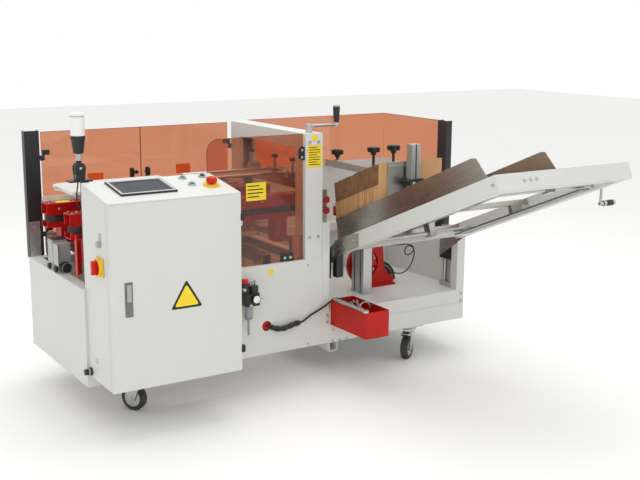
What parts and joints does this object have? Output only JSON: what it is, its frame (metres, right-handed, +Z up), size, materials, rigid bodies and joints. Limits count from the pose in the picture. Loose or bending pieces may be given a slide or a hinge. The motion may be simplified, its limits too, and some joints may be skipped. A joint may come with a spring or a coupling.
{
  "type": "carton sealer machine",
  "caption": "Carton erector with inclined blank magazine, side belts, bottom taping head, portal head, tinted guards and a control cabinet on a caster base.",
  "frame": {"origin": "on the floor, under the centre of the whole machine's bounding box", "axes": "+X along the machine, from the discharge end to the magazine; +Y from the operator side to the rear doors; +Z up"},
  "size_m": [1.823, 1.6172, 1.138],
  "materials": {
    "white_paint": "fine textured white powder coat",
    "red_paint": "glossy red paint",
    "black_paint": "black powder coat",
    "amber_sheet": "tinted see-through acrylic",
    "stainless": "brushed stainless steel",
    "zinc": "zinc-plated steel",
    "aluminium": "anodised aluminium",
    "black_plastic": "moulded black plastic",
    "wheel_black": "black polyurethane tread",
    "kraft_board": "plain kraft corrugated board",
    "red_plastic": "red plastic",
    "green_plastic": "green plastic",
    "blue_plastic": "blue plastic",
    "grey_paint": "grey enamel",
    "tape_film": "wound packing tape",
    "cable_black": "cable sheath"
  },
  "bodies": {
    "machine": {"base_frame": "white_paint", "front_panel": "white_paint", "outer_panels": "white_paint", "portal_frame": "white_paint", "plated_fittings": "zinc", "cabinet_shell": "white_paint", "component_plate": "grey_paint", "hmi_panel": "black_plastic", "control_bezels": "zinc", "guard_posts": "black_paint", "amber_guards": "amber_sheet", "frl_unit": "black_plastic", "tool_tray": "red_paint", "front_cable": "cable_black", "magazine_cable": "cable_black", "lift_guides": "zinc", "red_bracket": "red_paint", "drag_chain": "black_plastic", "tape_head": "stainless", "bed_plates": "stainless", "side_guide": "stainless", "suction_plate": "zinc", "drive_gearbox": "grey_paint"},
    "cabinet_door": {"cabinet_door": "white_paint"},
    "door_latch": {"door_latch": "zinc"},
    "isolator_knob": {"isolator_knob": "red_plastic"},
    "button_green": {"button_green": "green_plastic"},
    "button_blue": {"button_blue": "blue_plastic"},
    "button_black": {"button_black": "black_plastic"},
    "estop": {"estop_head": "red_plastic"},
    "rear_door_left": {"rear_door_left": "amber_sheet"},
    "rear_door_right": {"rear_door_right": "amber_sheet"},
    "head": {"head_beam": "zinc"},
    "head_crank": {"head_crank": "zinc"},
    "magazine": {"magazine_frame": "white_paint", "magazine_steelwork": "stainless", "lift_blocks": "black_paint", "carton_blanks": "kraft_board"},
    "right_guide": {"right_guide": "stainless"},
    "width_crank": {"width_crank": "zinc"},
    "blank_pusher": {"blank_pusher": "aluminium"},
    "side_drive_front": {"side_drive_front": "red_paint"},
    "side_drive_rear": {"side_drive_rear": "red_paint"},
    "roller_front": {"roller_front": "zinc"},
    "roller_rear": {"roller_rear": "zinc"},
    "tape_roll": {"tape_roll": "tape_film"},
    "tape_arm_front": {"tape_arm_front": "red_paint"},
    "tape_arm_rear": {"tape_arm_rear": "red_paint"},
    "swing_arm": {"swing_arm": "red_paint"},
    "slide_valve": {"slide_valve": "red_plastic"},
    "lamp": {"lamp_head": "black_plastic"},
    "star_knob_front": {"star_knob_front": "black_plastic"},
    "star_knob_middle": {"star_knob_middle": "black_plastic"},
    "star_knob_back": {"star_knob_back": "black_plastic"},
    "fork_left": {"caster_fork_left": "zinc"},
    "fork_right": {"caster_fork_right": "zinc"},
    "wheel_front_left": {"wheel_front_left": "wheel_black"},
    "wheel_front_right": {"wheel_front_right": "wheel_black"},
    "wheel_rear_left": {"wheel_rear_left": "wheel_black"},
    "wheel_rear_right": {"wheel_rear_right": "wheel_black"}
  },
  "joints": [
    {"name": "cabinet_door_hinge", "type": "hinge", "parent": "machine", "child": "cabinet_door", "pos_m": [-0.372, -0.07945, 0.548], "axis": [0, 0, 1], "range_deg": [0, 110]},
    {"name": "door_latch_turn", "type": "hinge", "parent": "cabinet_door", "child": "door_latch", "pos_m": [-0.8125, -0.07945, 0.5], "axis": [0, 1, 0], "range_deg": [0, 90]},
    {"name": "isolator_turn", "type": "hinge", "parent": "machine", "child": "isolator_knob", "pos_m": [-0.8865, -0.00545, 0.626], "axis": [1, 0, 0], "range_deg": [0, 90]},
    {"name": "button_green_press", "type": "slide", "parent": "machine", "child": "button_green", "axis": [0, -0.1553, 0.9879], "range_m": [-0.003, 0], "stiffness_N_per_m": 200, "springref_m": 0.002},
    {"name": "button_blue_press", "type": "slide", "parent": "machine", "child": "button_blue", "axis": [0, -0.1553, 0.9879], "range_m": [-0.003, 0], "stiffness_N_per_m": 200, "springref_m": 0.002},
    {"name": "button_black_press", "type": "slide", "parent": "machine", "child": "button_black", "axis": [0, -0.1553, 0.9879], "range_m": [-0.003, 0], "stiffness_N_per_m": 200, "springref_m": 0.002},
    {"name": "estop_press", "type": "slide", "parent": "machine", "child": "estop", "axis": [0, -0.1553, 0.9879], "range_m": [-0.005, 0]},
    {"name": "rear_door_left_hinge", "type": "hinge", "parent": "machine", "child": "rear_door_left", "pos_m": [-0.8085, 0.77455, 0.748], "axis": [0, 0, 1], "range_deg": [0, 90]},
    {"name": "rear_door_right_hinge", "type": "hinge", "parent": "machine", "child": "rear_door_right", "pos_m": [0.0275, 0.77455, 0.748], "axis": [0, 0, 1], "range_deg": [-90, 0]},
    {"name": "head_lift", "type": "slide", "parent": "machine", "child": "head", "axis": [0, 0, 1], "range_m": [-0.025, 0.05]},
    {"name": "head_crank_turn", "type": "hinge", "parent": "machine", "child": "head_crank", "pos_m": [0.0795, 0.18655, 1.038], "axis": [0, 0, 1], "range_deg": [-910, 1810]},
    {"name": "magazine_lift", "type": "slide", "parent": "machine", "child": "magazine", "axis": [0, 0, 1], "range_m": [-0.03, 0.055]},
    {"name": "right_guide_slide", "type": "slide", "parent": "magazine", "child": "right_guide", "axis": [1, 0, 0], "range_m": [0, 0.1]},
    {"name": "width_crank_turn", "type": "hinge", "parent": "magazine", "child": "width_crank", "pos_m": [0.8135, -0.65493, 0.86755], "axis": [1, 0, 0], "range_deg": [-10, 3610]},
    {"name": "pusher_slide", "type": "slide", "parent": "magazine", "child": "blank_pusher", "axis": [0, -0.9239, 0.3827], "range_m": [0, 0.4]},
    {"name": "side_drive_front_slide", "type": "slide", "parent": "machine", "child": "side_drive_front", "axis": [0, 1, 0], "range_m": [-0.055, 0.025]},
    {"name": "side_drive_rear_slide", "type": "slide", "parent": "machine", "child": "side_drive_rear", "axis": [0, 1, 0], "range_m": [-0.025, 0.055]},
    {"name": "roller_front_spin", "type": "hinge", "parent": "side_drive_front", "child": "roller_front", "pos_m": [-0.8375, 0.32505, 0.708], "axis": [0, 0, 1], "continuous": true},
    {"name": "roller_rear_spin", "type": "hinge", "parent": "side_drive_rear", "child": "roller_rear", "pos_m": [-0.8375, 0.58605, 0.708], "axis": [0, 0, 1], "continuous": true},
    {"name": "tape_roll_spin", "type": "hinge", "parent": "machine", "child": "tape_roll", "pos_m": [-0.4065, 0.45555, 0.338], "axis": [0, 1, 0], "continuous": true},
    {"name": "tape_arm_front_swing", "type": "hinge", "parent": "machine", "child": "tape_arm_front", "pos_m": [-0.5465, 0.45555, 0.546], "axis": [0, 1, 0], "range_deg": [-15, 0], "stiffness_Nm_per_rad": 20, "springref_deg": 20.05},
    {"name": "tape_arm_rear_swing", "type": "hinge", "parent": "machine", "child": "tape_arm_rear", "pos_m": [-0.2665, 0.45555, 0.546], "axis": [0, 1, 0], "range_deg": [0, 15], "stiffness_Nm_per_rad": 20, "springref_deg": -20.05},
    {"name": "swing_arm_turn", "type": "hinge", "parent": "machine", "child": "swing_arm", "pos_m": [0.5575, 0.44455, 0.648], "axis": [0, 0, 1], "range_deg": [-90, 0]},
    {"name": "slide_valve_lift", "type": "slide", "parent": "machine", "child": "slide_valve", "axis": [0, 0, 1], "range_m": [0, 0.012]},
    {"name": "lamp_fold", "type": "hinge", "parent": "machine", "child": "lamp", "pos_m": [-0.8645, 0.20655, 0.942], "axis": [0, 1, 0], "range_deg": [-90, 0]},
    {"name": "star_knob_front_turn", "type": "hinge", "parent": "machine", "child": "star_knob_front", "pos_m": [0.5585, 0.26755, 0.848], "axis": [0, 0, 1], "continuous": true},
    {"name": "star_knob_middle_turn", "type": "hinge", "parent": "machine", "child": "star_knob_middle", "pos_m": [0.5585, 0.41455, 0.848], "axis": [0, 0, 1], "continuous": true},
    {"name": "star_knob_back_turn", "type": "hinge", "parent": "machine", "child": "star_knob_back", "pos_m": [0.5585, 0.70455, 0.848], "axis": [0, 0, 1], "continuous": true},
    {"name": "fork_left_swivel", "type": "hinge", "parent": "machine", "child": "fork_left", "pos_m": [-0.6635, 0.19255, 0.128], "axis": [0, 0, 1], "continuous": true},
    {"name": "wheel_front_left_roll", "type": "hinge", "parent": "fork_left", "child": "wheel_front_left", "pos_m": [-0.6794, 0.21799, 0.05], "axis": [-0.848, -0.5299, 0], "continuous": true},
    {"name": "wheel_rear_left_roll", "type": "hinge", "parent": "machine", "child": "wheel_rear_left", "pos_m": [-0.6635, 0.72855, 0.05], "axis": [0, 1, 0], "continuous": true},
    {"name": "fork_right_swivel", "type": "hinge", "parent": "machine", "child": "fork_right", "pos_m": [0.6085, 0.19255, 0.128], "axis": [0, 0, 1], "continuous": true},
    {"name": "wheel_front_right_roll", "type": "hinge", "parent": "fork_right", "child": "wheel_front_right", "pos_m": [0.58393, 0.17535, 0.05], "axis": [0.5736, -0.8192, 0], "continuous": true},
    {"name": "wheel_rear_right_roll", "type": "hinge", "parent": "machine", "child": "wheel_rear_right", "pos_m": [0.6085, 0.72855, 0.05], "axis": [0, 1, 0], "continuous": true}
  ],
  "couplings": [
    {"joint": "head_crank_turn", "follows": "head_lift", "rad_per_m": 628.32},
    {"joint": "width_crank_turn", "follows": "right_guide_slide", "rad_per_m": 628.32},
    {"joint": "side_drive_rear_slide", "follows": "side_drive_front_slide", "ratio": -1},
    {"joint": "tape_arm_rear_swing", "follows": "tape_arm_front_swing", "ratio": -1}
  ]
}
